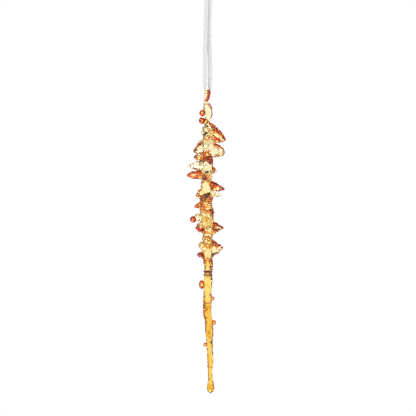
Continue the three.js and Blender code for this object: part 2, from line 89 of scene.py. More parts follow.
# Strokes of coloured glass laid on each piece: the colour, the stroke's half width in millimetres,
# and its points as shares of the CAD node's box, across and up. The near-black strokes are painted
# reflections of dark surroundings, laid on as specks in the glass.
# The garnet strokes that trace a piece's outline are partly painted shade of the dark edges that glass seen edge
# on shows, and partly the glass's own dark red.
BRUSHWORK = {
    "neck_leaf": [
        ("garnet", 0.35, [(0.05, 0.81), (0.42, 0.83), (0.71, 0.67), (0.98, 0.52)]),
        ("ember", 0.25, [(0.95, 0.45), (0.87, 0.2), (0.62, 0.02)]),
        ("clear", 1.6, [(0.4, 0.64), (0.57, 0.35), (0.51, 0.15)]),
    ],
    "gather_top": [
        ("ember", 1.1, [(0.57, 0.99), (0.71, 0.91), (0.97, 0.83)]),
        ("garnet", 0.4, [(0.54, 0.97), (0.73, 0.85), (0.97, 0.79)]),
        ("char", 0.75, [(0.37, 0.89), (0.46, 0.86)]),
        ("clear", 1.6, [(0.23, 0.85), (0.32, 0.73)]),
        ("ember", 0.45, [(0.17, 0.84)]),
        ("ember", 0.4, [(0.36, 0.91), (0.56, 0.8), (0.69, 0.64)]),
        ("char", 1.1, [(0.28, 0.65), (0.38, 0.68)]),
        ("char", 0.6, [(0.15, 0.63), (0.38, 0.65)]),
        ("garnet", 0.6, [(0.09, 0.59), (0.24, 0.53), (0.5, 0.48)]),
        ("ember", 0.7, [(0.54, 0.62), (0.68, 0.55), (0.57, 0.51)]),
        ("garnet", 0.35, [(0.51, 0.6), (0.6, 0.5), (0.79, 0.46)]),
        ("clear", 4.6, [(0.71, 0.32), (0.79, 0.16)]),
        ("clear", 3.0, [(-0.3, 0.26), (-0.1, 0.11), (0.1, 0.3)]),
        ("char", 0.4, [(0.14, 0.44), (0.15, 0.26)]),
        ("garnet", 0.45, [(0.17, 0.26), (0.27, 0.15)]),
        ("garnet", 0.35, [(0.37, 0.28), (0.44, 0.17)]),
        ("garnet", 0.4, [(0.14, 0.5), (-0.15, 0.38), (-0.39, 0.3), (-0.43, 0.22)]),
        ("ember", 0.9, [(0.18, 0.1), (0.36, 0.16)]),
        ("ember", 1.7, [(1.02, 0.38), (1.3, 0.31), (1.6, 0.23)]),
        ("garnet", 0.6, [(1.0, 0.41), (1.34, 0.35), (1.68, 0.27), (1.76, 0.19), (1.69, 0.12)]),
        ("clear", 1.8, [(1.25, 0.23), (1.55, 0.17)]),
        ("ember", 1.0, [(1.24, 0.16)]),
        ("garnet", 0.45, [(0.18, 0.05), (0.46, 0.07), (0.82, 0.02)]),
        ("ember", 0.9, [(0.18, 0.01), (0.5, 0.03), (0.79, 0.01)]),
    ],
    "lobe_left_1": [
        ("clear", 2.0, [(0.62, 0.8), (0.62, 0.31)]),
    ],
    "lobe_left_2": [
        ("garnet", 0.35, [(0.85, 0.95), (0.3, 0.45), (0.05, 0.2), (0.1, -0.3)]),
        ("clear", 2.4, [(0.7, 0.3), (0.5, 0.0)]),
    ],
    "lobe_front_6": [
        ("clear", 3.4, [(0.3, 0.5), (0.7, 0.4)]),
        ("garnet", 0.4, [(0.1, 0.95), (0.6, 0.85)]),
    ],
    "lobe_right_1": [
        ("garnet", 0.55, [(0.12, 0.86), (0.48, 0.71), (0.69, 0.51), (0.91, 0.26), (0.95, 0.07)]),
        ("garnet", 0.8, [(0.59, 0.67), (0.66, 0.63)]),
        ("ember", 0.8, [(0.07, 0.65), (0.34, 0.58), (0.59, 0.4)]),
        ("garnet", 0.35, [(0.12, 0.68), (0.41, 0.61), (0.63, 0.41)]),
        ("clear", 0.8, [(0.1, 0.53), (0.36, 0.44), (0.69, 0.23)]),
        ("garnet", 0.9, [(0.2, 0.36), (0.43, 0.19), (0.64, 0.14)]),
        ("clear", 0.9, [(0.72, 0.12), (0.86, 0.06)]),
    ],
    "lobe_left_3": [
        ("char", 1.0, [(0.06, 0.5), (0.12, 0.32)]),
        ("garnet", 0.8, [(0.14, 0.25), (0.47, 0.07), (0.9, 0.02)]),
        ("clear", 1.8, [(0.35, 0.85), (0.77, 0.7)]),
    ],
    "lobe_front_2": [
        ("garnet", 0.5, [(0.13, 0.78), (0.38, 0.51), (0.8, 0.53)]),
        ("garnet", 0.5, [(0.25, 0.16), (0.63, 0.29), (0.92, 0.11)]),
    ],
    "gather_second": [
        ("garnet", 0.45, [(0.18, 0.9), (0.47, 0.95), (0.8, 0.87)]),
        ("ember", 0.9, [(0.34, 0.98), (0.67, 0.88)]),
        ("ember", 0.5, [(-0.45, 0.64), (-0.17, 0.74)]),
        ("garnet", 0.3, [(-0.46, 0.63), (-0.27, 0.68)]),
        ("clear", 3.4, [(-0.73, 0.7), (0.01, 0.67), (0.34, 0.6)]),
        ("char", 0.55, [(0.42, 0.73)]),
        ("char", 0.75, [(0.42, 0.39), (0.59, 0.41)]),
        ("garnet", 0.7, [(0.97, 0.83), (1.0, 0.6)]),
        ("clear", 2.0, [(0.8, 0.34), (0.71, 0.09)]),
    ],
    "lobe_right_3": [
        ("garnet", 0.9, [(0.27, 0.99), (0.46, 0.67), (0.89, 0.43)]),
        ("clear", 1.0, [(0.38, 0.22), (0.97, 0.29)]),
    ],
    "lobe_left_5": [
        ("ember", 2.6, [(0.2, 0.55), (0.82, 0.5)]),
        (
            "garnet",
            0.75,
            [(0.85, 0.88), (0.49, 0.93), (0.17, 0.76), (0.04, 0.41), (0.23, 0.11), (0.56, 0.09)],
        ),
        ("clear", 0.5, [(0.3, 0.41), (0.56, 0.51)]),
    ],
    "lobe_front_3": [
        ("ember", 2.0, [(0.39, 0.49), (0.69, 0.37)]),
        ("garnet", 0.5, [(0.14, 0.3), (0.47, 0.05), (0.89, 0.14)]),
        ("garnet", 0.5, [(0.32, 0.69), (0.64, 0.76)]),
    ],
    "gather_third": [
        ("garnet", 0.8, [(0.59, 0.96), (0.77, 0.9), (0.97, 0.83)]),
        ("clear", 3.2, [(0.32, 0.95), (0.46, 0.84)]),
        ("garnet", 0.35, [(0.19, 0.88), (0.02, 0.81), (-0.06, 0.75), (0.05, 0.7)]),
        ("char", 1.0, [(0.3, 0.72), (0.5, 0.73), (0.65, 0.78)]),
        ("char", 0.65, [(0.15, 0.69), (0.2, 0.64)]),
        ("clear", 1.2, [(1.0, 0.78), (1.38, 0.77)]),
        ("ember", 1.5, [(0.15, 0.62), (0.3, 0.54), (0.8, 0.48), (0.95, 0.42)]),
        ("ember", 1.0, [(0.75, 0.7), (0.9, 0.6)]),
        ("garnet", 0.5, [(0.12, 0.6), (0.28, 0.56), (0.16, 0.54)]),
        ("garnet", 0.45, [(0.49, 0.59), (0.66, 0.55), (0.85, 0.58)]),
        ("garnet", 0.45, [(0.31, 0.49), (0.49, 0.47), (0.44, 0.42)]),
        ("garnet", 0.4, [(0.7, 0.69), (0.88, 0.65), (0.95, 0.7)]),
        ("clear", 0.9, [(0.35, 0.64), (0.57, 0.66)]),
        ("clear", 0.8, [(0.5, 0.52), (0.65, 0.5)]),
        ("clear", 0.8, [(0.66, 0.62), (0.8, 0.6)]),
        ("clear", 0.6, [(0.08, 0.47), (0.3, 0.44)]),
        ("char", 0.5, [(0.49, 0.39)]),
        ("garnet", 0.45, [(0.91, 0.4), (0.99, 0.35), (1.03, 0.28)]),
        ("clear", 2.6, [(-0.02, 0.36), (0.32, 0.3), (0.66, 0.19), (0.86, 0.1)]),
        ("ember", 0.6, [(0.43, 0.32), (0.55, 0.28)]),
        ("garnet", 0.5, [(0.25, 0.15), (0.42, 0.12), (0.35, 0.06)]),
        ("ember", 0.8, [(0.49, 0.09), (0.69, 0.06)]),
        ("garnet", 0.4, [(0.86, 0.05), (1.0, 0.08)]),
    ],
    "lobe_left_7": [
        ("garnet", 0.4, [(0.19, 0.61), (0.45, 0.15), (0.88, 0.26)]),
    ],
    "lobe_right_6": [
        ("garnet", 0.6, [(0.19, 0.72), (0.66, 0.91), (0.93, 0.51), (0.54, 0.1)]),
    ],
    "lobe_left_9": [
        ("ember", 1.6, [(0.3, 0.5), (0.5, 0.3), (0.9, 0.3)]),
        ("garnet", 0.7, [(0.21, 0.97), (0.18, 0.43), (0.43, 0.11)]),
        ("garnet", 0.9, [(0.48, 0.29), (0.92, 0.27)]),
        ("clear", 1.0, [(0.57, 0.84), (0.73, 0.6)]),
    ],
    "lobe_right_7": [
        ("ember", 1.3, [(0.1, 0.6), (0.7, 0.45)]),
        ("garnet", 0.9, [(0.05, 0.89), (0.39, 0.8), (0.79, 0.6)]),
        ("char", 0.5, [(0.95, 0.53)]),
        ("clear", 0.8, [(0.39, 0.51), (0.65, 0.47)]),
        ("garnet", 0.7, [(0.05, 0.31), (0.35, 0.28), (0.6, 0.33)]),
    ],
    "lobe_right_4": [
        ("ember", 1.3, [(0.2, 0.75), (0.5, 0.5), (0.85, 0.25)]),
        ("garnet", 0.75, [(0.09, 0.91), (0.39, 0.74), (0.71, 0.51), (0.98, 0.24)]),
        ("garnet", 0.6, [(0.11, 0.08), (0.5, 0.01), (0.88, 0.1)]),
        ("garnet", 0.6, [(0.18, 0.64), (0.25, 0.33)]),
        ("clear", 0.6, [(0.5, 0.32), (0.72, 0.26)]),
    ],
    "gather_bottom": [
        ("garnet", 0.45, [(0.41, 0.94), (0.19, 0.85)]),
        ("ember", 0.7, [(0.52, 0.96), (0.69, 0.93)]),
        ("clear", 3.0, [(0.41, 0.67), (0.5, 0.51), (1.01, 0.46)]),
        ("garnet", 1.0, [(0.02, 0.27), (0.14, 0.16)]),
        ("ember", 0.9, [(0.17, 0.31), (0.25, 0.12)]),
        ("char", 0.8, [(0.85, 0.2), (1.01, 0.27)]),
        ("garnet", 0.6, [(1.01, 0.17), (1.21, 0.25)]),
        ("garnet", 0.7, [(0.22, 0.02), (0.54, 0.01), (0.88, 0.03)]),
    ],
    "lobe_left_11": [
        ("garnet", 0.9, [(0.6, 0.7), (0.85, 0.3)]),
        ("char", 0.5, [(0.18, 0.51)]),
    ],
    "lobe_right_8": [
        ("garnet", 1.0, [(0.01, 0.97), (0.35, 0.81), (0.97, 0.58)]),
        ("ember", 1.1, [(0.03, 0.8), (0.45, 0.62)]),
    ],
    "stem_drip_1": [
        ("garnet", 0.8, [(0.06, 0.95), (0.49, 0.9), (0.95, 0.96)]),
        ("garnet", 0.45, [(0.97, 0.91), (0.95, 0.55)]),
        ("clear", 2.2, [(0.36, 0.74), (0.4, 0.51)]),
        ("char", 0.5, [(0.12, 0.53), (0.12, 0.46)]),
    ],
    "stem_drip_2": [
        ("clear", 0.5, [(0.1, 0.985), (0.9, 0.985)]),
        ("garnet", 0.6, [(0.54, 0.44), (0.77, 0.33), (1.02, 0.23)]),
        ("garnet", 0.6, [(0.84, 0.1), (0.97, 0.02)]),
        ("garnet", 0.35, [(0.05, 0.01), (0.51, 0.02), (0.97, 0.01)]),
        ("clear", 1.6, [(0.4, 0.89), (0.35, 0.19)]),
    ],
    "stem_drip_3": [
        ("garnet", 0.4, [(0.1, 0.96), (0.1, 0.76), (0.25, 0.59)]),
        ("garnet", 0.35, [(0.88, 0.82), (0.92, 0.67)]),
        ("garnet", 0.35, [(0.33, 0.51), (0.29, 0.29), (0.29, 0.08)]),
        ("garnet", 0.35, [(1.0, 0.37), (1.02, 0.08)]),
        ("char", 0.3, [(0.35, 0.48), (0.34, 0.45)]),
    ],
    "stem_drip_4": [
        ("garnet", 0.75, [(0.76, 0.89), (0.9, 0.83)]),
        ("ember", 0.6, [(0.52, 0.88)]),
        ("garnet", 0.5, [(0.2, 0.64), (0.21, 0.58)]),
        ("garnet", 0.4, [(0.87, 0.56), (0.87, 0.54)]),
        ("garnet", 0.3, [(0.27, 0.45), (0.35, 0.04)]),
    ],
    "tip_drop": [
        ("garnet", 0.45, [(0.73, 0.97), (0.88, 0.6)]),
    ],
}
# How red each colour of stroke is. The near-black strokes of painted dark reflection are laid on apart from these.
SHADES = {"clear": 0.0, "ember": 0.72, "garnet": 1.0}


# ---- Sizes and colours that a user would change ----


def a_colour(name, description, default):
    return FloatVectorProperty(
        name=name, description=description, subtype="COLOR", default=default, min=0, max=1
    )


def a_length(name, description, default, least=None):
    limits = {} if least is None else {"min": least}
    return FloatProperty(
        name=name, description=description, subtype="DISTANCE", default=default, **limits
    )


class GlassSettings(bpy.types.PropertyGroup):
    """Colours and surface of the glass."""

    pale: a_colour("Pale", "Clear straw colour of the gathers and of thin lobes", (0.99, 0.96, 0.84))
    honey: a_colour("Honey", "Yellow of the drawn stem and of streaks in the gathers", (0.98, 0.62, 0.05))
    ember: a_colour("Ember", "Orange of the lobes' tips, the beads and the eye", (0.85, 0.1, 0.004))
    # Garnet along the outlines is partly painted shade of glass edges seen edge on.
    garnet: a_colour("Garnet", "Dark red of veins and of the tips' outlines", (0.26, 0.003, 0.001))
    # Near-black colour of the painted dark reflections: specks where the glass mirrors its dark surroundings.
    char: a_colour("Dark reflection", "Near black brown of the few specks in the glass", (0.004, 0.001, 0.0005))
    lump_size: a_length(
        "Lump size", "Width of the soft lumps that the flame leaves", 4.5 * MM, 0.5 * MM
    )


class RibbonSettings(bpy.types.PropertyGroup):
    """Size and colour of the ribbon."""

    width: a_length("Width", "Width of the ribbon from selvedge to selvedge", 3.9 * MM, 1 * MM)
    colour: a_colour("Colour", "Colour of the ribbon's yarn", (0.56, 0.565, 0.57))


class StageSettings(bpy.types.PropertyGroup):
    """Floor and camera."""

    floor_drop: a_length("Floor drop", "Height of the ornament's tip above the floor", 0.5, 0.01)
    field: a_length("Field", "Width of what the camera sees at the ornament", 383.5 * MM, 0.05)
    camera_drop: a_length(
        "Camera drop", "Height of the eye's top above the middle of what the camera sees", 109.4 * MM
    )


# ---- Shader maths ----


class Finish:
    """One procedural material. Its add method makes every node."""

    def __init__(self, name):
        self.material = bpy.data.materials.new(name)
        self.material.use_nodes = True
        self.tree = self.material.node_tree
        self.tree.nodes.clear()

    def add(self, kind, settings=None, sockets=None):
        node = self.tree.nodes.new(kind)
        for key, value in (settings or {}).items():
            setattr(node, key, value)
        for key, value in (sockets or {}).items():
            self.feed(node.inputs[key], value)
        return node

    def feed(self, socket, value):
        if isinstance(value, Number):
            value = value.link
        if isinstance(value, bpy.types.NodeSocket):
            self.tree.links.new(value, socket)
        elif socket.type == "RGBA" and len(value) == 3:
            socket.default_value = (*value, 1)
        else:
            socket.default_value = value

    def number(self, link):
        return Number(self, link)

    def attribute(self, name):
        return self.number(self.add("ShaderNodeAttribute", {"attribute_name": name}).outputs["Fac"])

    def place(self, stretch=(1, 1, 1)):
        """Object coordinates, squeezed so that patterns on them come out stretched."""
        coordinates = self.add("ShaderNodeTexCoord").outputs["Object"]
        sockets = {"Vector": coordinates, "Scale": [1 / s for s in stretch]}
        return self.add("ShaderNodeMapping", None, sockets).outputs["Vector"]

    def noise(self, size, place, detail=2.0, twist=0.0):
        """Cloudy noise from 0 to 1 whose patches are about size across, in metres."""
        sockets = {"Vector": place, "Scale": 1 / size, "Detail": detail, "Distortion": twist}
        return self.number(self.add("ShaderNodeTexNoise", None, sockets).outputs["Fac"])

    def maths(self, operation, *values):
        node = self.add("ShaderNodeMath", {"operation": operation}, dict(enumerate(values)))
        return self.number(node.outputs[0])

    def parts(self, vector):
        """A vector's x, y and z."""
        node = self.add("ShaderNodeSeparateXYZ", None, {0: vector})
        return [self.number(output) for output in node.outputs]

    def step(self, value, low, high):
        """Eases from 0 at low to 1 at high."""
        settings = {"interpolation_type": "SMOOTHSTEP", "clamp": True}
        sockets = {"Value": value, "From Min": low, "From Max": high}
        return self.number(self.add("ShaderNodeMapRange", settings, sockets).outputs["Result"])

    def blend(self, share, first, second):
        sockets = {0: share, 6: first, 7: second}
        return self.add("ShaderNodeMix", {"data_type": "RGBA"}, sockets).outputs[2]

    def bump(self, height, distance, strength=1.0):
        sockets = {"Height": height, "Distance": distance, "Strength": strength}
        return self.add("ShaderNodeBump", None, sockets).outputs["Normal"]

    def surface(self, shader, volume=None):
        sockets = {"Surface": shader}
        if volume is not None:
            sockets["Volume"] = volume
        self.add("ShaderNodeOutputMaterial", None, sockets)
        return self.material


class Number:
    """A number on a socket, so that shader maths reads as arithmetic."""

    def __init__(self, finish, link):
        self.finish = finish
        self.link = link

    def __add__(self, other):
        return self.finish.maths("ADD", self, other)

    def __radd__(self, other):
        return self.finish.maths("ADD", other, self)

    def __sub__(self, other):
        return self.finish.maths("SUBTRACT", self, other)

    def __rsub__(self, other):
        return self.finish.maths("SUBTRACT", other, self)

    def __mul__(self, other):
        return self.finish.maths("MULTIPLY", self, other)

    def __rmul__(self, other):
        return self.finish.maths("MULTIPLY", other, self)


# ---- Finishes of the glass: one recipe, with a colour balance for each ----


def glass_finish(name, glass, reds, tips, rims, streak, density, absorbed, drawn=1):
    """Lampworked amber glass.

    reds is how red the piece is all over, tips and rims how much redder its tip and its sharp ridges
    are, streak how strong the lengthwise streaks are, density how fast the glass deepens in colour,
    absorbed the colour that it keeps with depth, and drawn how many times longer than wide its clouds are.
    The redder ridges are partly the glass's own deeper colour and partly painted shade, for the dark
    edges that glass shows where it is seen edge on.
    """
    finish = Finish(name)
    place = finish.place()
    along = finish.place((1, 1, 5))
    # On the beads and drops the tip mark carries painted light: they are paler at the very front and back.
    tip = finish.attribute("tip")
    # Ridge mark: partly the ridges' own redder glass, partly painted shade along them.
    rim = finish.attribute("rim")
    char = finish.attribute("char")
    clouds = finish.noise(6 * MM, place, 3, 0.6)
    curdle = finish.noise(2.0 * MM, finish.place((1, 1, drawn)), 3, 1.5)
    cords = finish.noise(1.4 * MM, along, 2, 0.4)
    worked = tip * tips + rim * rims + (clouds - 0.5) * 0.8 + (cords - 0.5) * streak + reds
    brushed = finish.attribute("brushed")
    heat = worked + (finish.attribute("shade") - worked) * brushed * 0.9 + (curdle - 0.5) * 0.8
    vein = 1 - finish.step(finish.maths("ABSOLUTE", curdle - 0.5), 0.01, 0.045)
    honeyed = finish.step(heat, 0.1, 0.5)
    embered = finish.step(heat, 0.5, 0.75)
    garnet = finish.step(heat + vein * 0.35, 0.75, 0.92)
    colour = finish.blend(honeyed, glass.pale, glass.honey)
    colour = finish.blend(embered, colour, glass.ember)
    colour = finish.blend(garnet, colour, glass.garnet)
    # Painted dark reflections: near-black specks, broken up by the curdle noise.
    painted_dark_share = finish.step(char * (1 + (curdle - 0.5) * 4), 0.4, 0.55)
    colour = finish.blend(painted_dark_share, colour, glass.char)
    ripple = finish.noise(1.1 * MM, along, 2) * 3 + finish.noise(0.8 * MM, place, 2)
    shader = finish.add(
        "ShaderNodeBsdfPrincipled",
        None,
        {
            "Base Color": colour,
            "Roughness": finish.step(curdle, 0.5, 1.0) * 0.05,
            "Transmission Weight": 1.0,
            "IOR": 1.5,
            "Normal": finish.bump(ripple, 0.05 * MM, 0.35),
        },
    )
    depth = finish.add("ShaderNodeVolumeAbsorption", None, {"Color": absorbed, "Density": density})
    return finish.surface(shader.outputs[0], depth.outputs[0])


def glass_finishes(glass):
    cream = (0.83, 0.71, 0.2)
    amber = (0.9, 0.74, 0.0)
    golden = (0.94, 0.79, 0.0)
    for name, *balance in (
        ("cream_glass", -0.17, 0.1, 0.45, 0.2, 75, cream),
        ("leaf_glass", -0.1, 0.1, 0.3, 0.3, 150, cream),
        ("pale_amber_glass", -0.12, 0.1, 0.5, 0.2, 95, amber),
        ("ember_lobe_glass", 0.3, 0.25, 0.5, 0.3, 90, amber),
        ("straw_stem_glass", -0.02, 0.5, 0.4, 0.9, 240, golden, 6),
        ("honey_stem_glass", 0.04, 0.5, 0.35, 0.9, 420, golden, 8),
        ("amber_tip_glass", 0.0, 0.5, 0.1, 0.7, 600, golden, 8),
        ("red_bead_glass", 0.45, 0.65, 0.1, 0.1, 120, amber),
        ("red_drop_glass", 0.3, 0.8, 0.1, 0.1, 160, amber),
    ):
        glass_finish(name, glass, *balance)


# ---- Measuring the frame ----


def rows_of(items, key, width=3, kind=float):
    """One property of every point or edge of a mesh, a row for each."""
    values = np.empty(len(items) * width, dtype=kind)
    items.foreach_get(key, values)
    return values.reshape(-1, width)


def corners_of(node):
    return rows_of(NODES[node].data.vertices, "co")


def cut(node, origin, normal):
    """The points where a plane crosses the edges of a CAD node."""
    points = corners_of(node)
    ends = rows_of(NODES[node].data.edges, "vertices", 2, np.int32)
    height = (points - np.array(origin)) @ np.array(normal)
    low, high = height[ends[:, 0]], height[ends[:, 1]]
    crossing = low * high < 0
    share = low[crossing] / (low[crossing] - high[crossing])
    start, end = points[ends[crossing, 0]], points[ends[crossing, 1]]
    return start + (end - start) * share[:, None]


def span(points, direction):
    """Middle and half width of some points along a direction."""
    along = points @ np.array(direction)
    return (along.max() + along.min()) / 2, (along.max() - along.min()) / 2


CORE_NODES = sorted(
    (name for name in NODES if name.startswith(("gather_", "stem_drip_", "neck_leaf", "tip_drop"))),
    key=lambda name: -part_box(name)[1][2],
)


def core_at(height):
    """The core's middle and radius at a height."""
    for name in CORE_NODES:
        low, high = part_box(name)
        if low[2] < height < high[2]:
            ring = cut(name, (0, 0, height), (0, 0, 1))
            x, width = span(ring, (1, 0, 0))
            y, depth = span(ring, (0, 1, 0))
            return Vector((x, y, height)), (width + depth) / 2
    return core_at(height - 0.5 * MM)


# ---- Modelling ----


def deselect():
    bpy.ops.object.select_all(action="DESELECT")


def loft(name, rings, sides, pinch=0.0):
    """Extrudes a circle up its own Z from ring to ring. A ring is its x, y, z, half width and half depth.

    pinch draws the circle in towards its ends along Y, as a leaf's section is.
    """
    deselect()
    bpy.ops.mesh.primitive_circle_add(vertices=sides, radius=1, fill_type="NGON", location=(0, 0, 0))
    piece = bpy.context.object
    piece.name = name
    for vertex in piece.data.vertices:
        vertex.co.x *= 1 - pinch * vertex.co.y**2
    x, y, z, width, depth = rings[0]
    bpy.ops.object.mode_set(mode="EDIT")
    bpy.ops.mesh.select_all(action="SELECT")
    bpy.ops.transform.resize(value=(width, depth, 1), center_override=(0, 0, 0))
    bpy.ops.transform.translate(value=(x, y, z))
    for before, after in zip(rings, rings[1:]):
        step = [b - a for a, b in zip(before[:3], after[:3])]
        bpy.ops.mesh.extrude_region_move(TRANSFORM_OT_translate={"value": step})
        growth = (after[3] / before[3], after[4] / before[4], 1)
        bpy.ops.transform.resize(value=growth, center_override=after[:3])
    bpy.ops.mesh.select_all(action="SELECT")
    bpy.ops.mesh.normals_make_consistent(inside=False)
    bpy.ops.object.mode_set(mode="OBJECT")
    return piece


def apply_all(piece):
    deselect()
    piece.select_set(True)
    bpy.context.view_layer.objects.active = piece
    for modifier in list(piece.modifiers):
        bpy.ops.object.modifier_apply(modifier=modifier.name)
    bpy.ops.object.transform_apply(location=True, rotation=True, scale=True)
    bpy.ops.object.shade_smooth()


def subdivide(piece, levels):
    smooth = piece.modifiers.new("smooth", "SUBSURF")
    smooth.levels = levels
    smooth.render_levels = levels


def melt(piece, size, strength):
    """Pushes the surface in and out in soft lumps, as the flame leaves it."""
    name = f"lumps_{size / MM:.1f}"
    lumps = bpy.data.textures.get(name) or bpy.data.textures.new(name, "CLOUDS")
    lumps.noise_scale = size
    displace = piece.modifiers.new("melt", "DISPLACE")
    displace.texture = lumps
    displace.texture_coords = "LOCAL"
    displace.strength = strength
    displace.mid_level = 0.5


def mesh_points(piece):
    return rows_of(piece.data.vertices, "co")


def mark(piece, name, values):
    """Stores a value from 0 to 1 on each point, for the finishes to read."""
    layer = piece.data.attributes.get(name) or piece.data.attributes.new(name, "FLOAT", "POINT")
    level = np.empty(len(piece.data.vertices), dtype=np.float32)
    level[:] = np.clip(values, 0, 1)
    layer.data.foreach_set("value", level)


def read_mark(piece, name):
    return rows_of(piece.data.attributes[name].data, "value", 1).ravel()


RIM_PASSES = 6  # of evening out over neighbouring points
RIM_SCALE = 2 * MM


def mark_ridge_red_and_shade(piece):
    """Marks the sharp ridges, which the finishes draw redder: partly the glass's own deeper colour there, partly
    painted shade for the dark edges that glass shows seen edge on.
    """
    points = mesh_points(piece)
    normals = rows_of(piece.data.vertices, "normal")
    ends = rows_of(piece.data.edges, "vertices", 2, np.int32)
    count = np.bincount(ends.ravel(), minlength=len(points))
    drop = np.zeros(len(points))
    for here, there in ((0, 1), (1, 0)):
        step = points[ends[:, there]] - points[ends[:, here]]
        bend = -(step * normals[ends[:, here]]).sum(axis=1) / (step * step).sum(axis=1)
        np.add.at(drop, ends[:, here], bend)
    ridge = drop / count
    for _ in range(RIM_PASSES):
        total = np.zeros(len(points))
        np.add.at(total, ends[:, 0], ridge[ends[:, 1]])
        np.add.at(total, ends[:, 1], ridge[ends[:, 0]])
        ridge = (ridge + total / count) / 2
    mark(piece, "rim", ridge * RIM_SCALE)


# How far from its line a stroke starts to ease out, and where it ends, in half widths.
STROKE_EDGE = (0.9, 1.6)
FRONT_EASE = 0.6 * MM  # depth over which what lies on the front only eases out


def near_stroke(places, line, reach):
    """1 near a stroke's line, easing to 0 outside its half width."""
    gap = np.full(len(places), np.inf)
    for start, end in zip(line, line[1:] or line):
        run = end - start
        share = ((places - start) @ run) / max(run @ run, 1e-12)
        nearest = start + np.clip(share, 0, 1)[:, None] * run
        gap = np.minimum(gap, np.linalg.norm(places - nearest, axis=1))
    inner, outer = STROKE_EDGE
    return np.clip((outer * reach - gap) / ((outer - inner) * reach), 0, 1)


def brush(piece, nodes):
    """Lays the strokes of these nodes on the piece, one over another.

    The painted dark reflections, and every stroke on the stem and the tip, lie on the front only.
    """
    points = mesh_points(piece)
    places = points[:, [0, 2]]
    front = np.clip(0.5 - (points[:, 1] - np.median(points[:, 1])) / FRONT_EASE, 0, 1)
    brushed, shade, char = (
        read_mark(piece, name) if name in piece.data.attributes else np.zeros(len(places))
        for name in ("brushed", "shade", "char")
    )
    for node in nodes:
        low, high = (np.array(corner)[[0, 2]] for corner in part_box(node))
        for colour, reach, shares in BRUSHWORK.get(node, []):
            line = [low + np.array(share) * (high - low) for share in shares]
            touch = near_stroke(places, line, reach * MM)
            if node.startswith(("stem_", "tip_")):
                touch *= front
            # Painted dark reflections: near-black specks, laid on the front only.
            if colour == "char":
                char = np.maximum(char, touch * front)
                continue
            shade += (SHADES[colour] - shade) * touch
            brushed += (1 - brushed) * touch
    mark(piece, "brushed", brushed)
    mark(piece, "shade", shade)
    mark(piece, "char", char)


def hand_over(piece, nodes, finish):
    """Gives a finished glass piece its marks, material and body, and hides the CAD nodes that it stands for."""
    mark_ridge_red_and_shade(piece)
    brush(piece, nodes)
    piece.data.materials.clear()
    piece.data.materials.append(finish)
    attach(piece, GLASS_BODY)
    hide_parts(*nodes)


def slot_of(node):
    return next(part["material_slot"] for part in frame["record"]["subparts"] if part["node"] == node)


ROD_SWELL = 1.05  # how much wider than its node a rod is drawn


def rod_rings(node, count, lip, tuck):
    """Rings through an upright node from its foot to its top, run into its neighbours by about tuck.

    lip is how many times wider still the foot is.
    """
    low, high = (corner[2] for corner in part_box(node))
    rings = []
    for step in range(count + 1):
        share = step / count
        height = low + (high - low) * min(max(share, 0.01), 0.99)
        ring = cut(node, (0, 0, height), (0, 0, 1))
        x, width = span(ring, (1, 0, 0))
        y, depth = span(ring, (0, 1, 0))
        rings.append([x, y, low + (high - low) * share, ROD_SWELL * width, ROD_SWELL * depth])
    foot, head = rings[0], rings[-1]
    rings[0] = [*foot[:3], foot[3] * lip, foot[4] * lip]
    end = [*foot[:2], foot[2] - tuck * 0.5, foot[3] * 0.55, foot[4] * 0.55]
    shoulder = [*head[:2], head[2] + tuck * 0.6, head[3], head[4]]
    start = [*head[:2], head[2] + tuck, head[3] * 0.75, head[4] * 0.75]
    return [end, *rings, shoulder, start]


def lobe_frame(node):
    """A point on the core's axis, the lobe's way out, its near and far reach, and the core's radius."""
    points = corners_of(node)
    axis, radius = core_at(float(points[:, 2].mean()))
    offsets = points[:, :2] - np.array(axis)[:2]
    tip = offsets[np.hypot(*offsets.T).argmax()]
    out = Vector((*tip, 0)).normalized()
    reach = offsets @ np.array(out)[:2]
    return axis, out, reach.min(), reach.max(), radius


# How many times taller than its CAD node a lobe is drawn, and how much further out it reaches.
FULLER = {
    "lobe_left_2": 1.5,
    "lobe_left_3": 1.12,
    "lobe_left_8": 1.35,
    "lobe_left_10": 1.25,
    "lobe_right_2": 1.05,
}
LONGER = {"lobe_left_8": 3.0 * MM, "lobe_front_5": -1.5 * MM, "lobe_back_5": -1.0 * MM}
LOBE_CUTS = (0.08, 0.26, 0.44, 0.6, 0.74, 0.86, 0.95)  # shares of the way out
LOBE_SWELL = 1.07  # how much fatter than its node a lobe is drawn


def pull_lobe(node, root):
    """A blob pulled out of the core, drawn through its CAD node's own sections, with its tip marked.

    root is where it starts, as a share of the core's radius.
    """
    axis, out, near, far, radius = lobe_frame(node)
    side = Vector((-out.y, out.x, 0))
    rings = []
    for share in LOBE_CUTS:
        distance = near + (far - near) * share
        ring = cut(node, axis + out * distance, out)
        across, thick = span(ring, side)
        up, tall = span(ring, (0, 0, 1))
        flare = (1 - share) ** 3
        thick += max(0.85 * radius - thick, 0) * flare
        tall *= (LOBE_SWELL + 0.25 * flare) * FULLER.get(node, 1)
        distance += LONGER.get(node, 0) * share
        rings.append([across - side.dot(axis), up - axis.z, distance, LOBE_SWELL * thick, tall])
    first, last = rings[0], rings[-1]
    inside = [
        [first[0] * 0.6, first[1], root * radius, 0.8 * radius, first[4] * 0.9],
        [first[0] * 0.8, first[1], (1 + root) / 2 * radius, 0.88 * radius, first[4] * 1.15],
    ]
    far += LONGER.get(node, 0)
    end = [last[0], last[1] - 0.1 * last[4], far + 0.5 * MM, last[3] * 0.6, last[4] * 0.6]
    piece = loft(f"{node}_glass", [*inside, *rings, end], 12, 0.5)
    piece.matrix_world = Matrix(
        ((side.x, 0, out.x, axis.x), (side.y, 0, out.y, axis.y), (0, 1, 0, axis.z), (0, 0, 0, 1))
    )
    subdivide(piece, 2)
    apply_all(piece)
    share = ((mesh_points(piece) - np.array(axis)) @ np.array(out) - near) / (far - near)
    mark(piece, "tip", share)
    return piece


